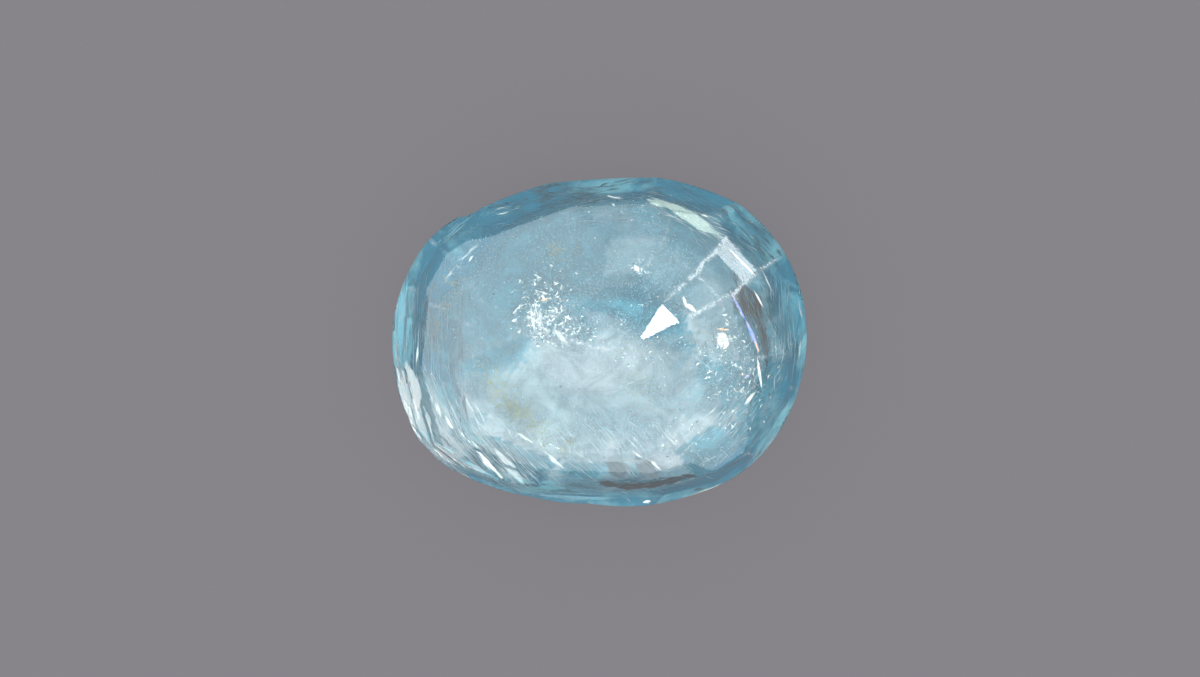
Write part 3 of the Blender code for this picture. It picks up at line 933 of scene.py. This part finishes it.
# The bench it lies on
# A pale grey sheet under the stone. It glows a little by itself, so that the stone throws no dark shadow
# on it. It is a stage and no part of the object.
SHEET_DROP = 0.02 * MM
bpy.ops.object.select_all(action="DESELECT")
bpy.ops.mesh.primitive_plane_add(size=0.5, location=(0, 0, -SHEET_DROP))
bench = bpy.context.object
bench.name = "pale_sheet"
sheet_paint, tree, shader, place = new_finish("pale_sheet")
shader.inputs["Base Color"].default_value = (0.025, 0.0245, 0.0260, 1.0)
shader.inputs["Emission Color"].default_value = (0.196, 0.190, 0.206, 1.0)
shader.inputs["Emission Strength"].default_value = 1.0
shader.inputs["Roughness"].default_value = 0.9
shader.inputs["Specular IOR Level"].default_value = 0.0
bench.data.materials.append(sheet_paint)

# Light
# A soft studio: a pale surround, a little brighter on the left and the near side, and rectangular
# diffusers whose mirror images lie in single facets.
surround = bpy.data.worlds.new("studio")
bpy.context.scene.world = surround
surround.use_nodes = True
studio = surround.node_tree
sky = studio.nodes["Background"]
SKY_RADIANCE = 2.08
BRIGHTER_LEFT = 0.28
BRIGHTER_NEAR = 0.18
HORIZON_SHARE = 0.55
view_way = studio.nodes.new("ShaderNodeTexCoord").outputs["Generated"]
split = studio.nodes.new("ShaderNodeSeparateXYZ")
wire(studio, view_way, split.inputs["Vector"])
dome = add_range(studio, split.outputs["Z"], 0.80, 0.96, 0.0, 1.0)
wire(studio, add_mix(studio, dome, (1.0, 1.0, 1.0, 1.0), (0.44, 0.46, 0.48, 1.0)), sky.inputs["Color"])
left_share = add_math(studio, "MULTIPLY", split.outputs["X"], -BRIGHTER_LEFT)
near_share = add_math(studio, "MULTIPLY", split.outputs["Y"], -BRIGHTER_NEAR)
one_sided = add_math(studio, "ADD", add_math(studio, "ADD", left_share, near_share), 1.0)
low_dimmed = add_range(studio, split.outputs["Z"], 0.0, 0.40, HORIZON_SHARE, 1.0)
level = add_math(studio, "MULTIPLY", one_sided, low_dimmed)
wire(studio, add_math(studio, "MULTIPLY", level, SKY_RADIANCE), sky.inputs["Strength"])

LAMP_DISTANCE = 0.40


def diffuser(name, azimuth, off_zenith, width, height, radiance):
    """A rectangular lamp that faces the stone; its brightness is what a mirror in the stone would show."""
    light = bpy.data.lights.new(name, "AREA")
    light.shape = "RECTANGLE"
    light.size, light.size_y = width, height
    light.energy = radiance * math.pi * width * height
    lamp = bpy.data.objects.new(name, light)
    bpy.context.scene.collection.objects.link(lamp)
    a, t = math.radians(azimuth), math.radians(off_zenith)
    back = Vector((math.sin(t) * math.cos(a), math.sin(t) * math.sin(a), math.cos(t)))
    lamp.location = back * LAMP_DISTANCE
    lamp.rotation_mode = "QUATERNION"
    lamp.rotation_quaternion = back.to_track_quat("Z", "Y")
    return lamp


diffuser("kite_window", 43.2, 19.8, 0.034, 0.034, 14.0)
diffuser("low_window", 44, 82, 0.10, 0.05, 4.5).visible_transmission = False
diffuser("left_spot", 150, 30, 0.020, 0.020, 30.0)
diffuser("near_spot", 262, 33, 0.020, 0.020, 30.0)
diffuser("right_spot", 335, 27, 0.020, 0.020, 30.0)

# Camera
# A long lens straight above, as in the photo, aimed at a point just beside the middle of the stone. The
# frame is 32.9 mm wide at the height of the rim.
FRAME_WIDTH = 32.9 * MM
RIM_HEIGHT = 1.6 * MM
FRAME_CENTRE = (0.014 * MM, 0.096 * MM)
lens = bpy.data.cameras.new("loupe")
lens.lens = 200
lens.sensor_width = 36
distance = FRAME_WIDTH * lens.lens / lens.sensor_width
lens.clip_start, lens.clip_end = distance * 0.02, distance * 20
camera = bpy.data.objects.new("loupe", lens)
camera.location = (*FRAME_CENTRE, RIM_HEIGHT + distance)
bpy.context.scene.collection.objects.link(camera)
bpy.context.scene.camera = camera
bpy.context.scene.view_settings.view_transform = "Standard"
for bounce in ("max_bounces", "transmission_bounces", "diffuse_bounces", "glossy_bounces"):
    setattr(bpy.context.scene.cycles, bounce, 24)
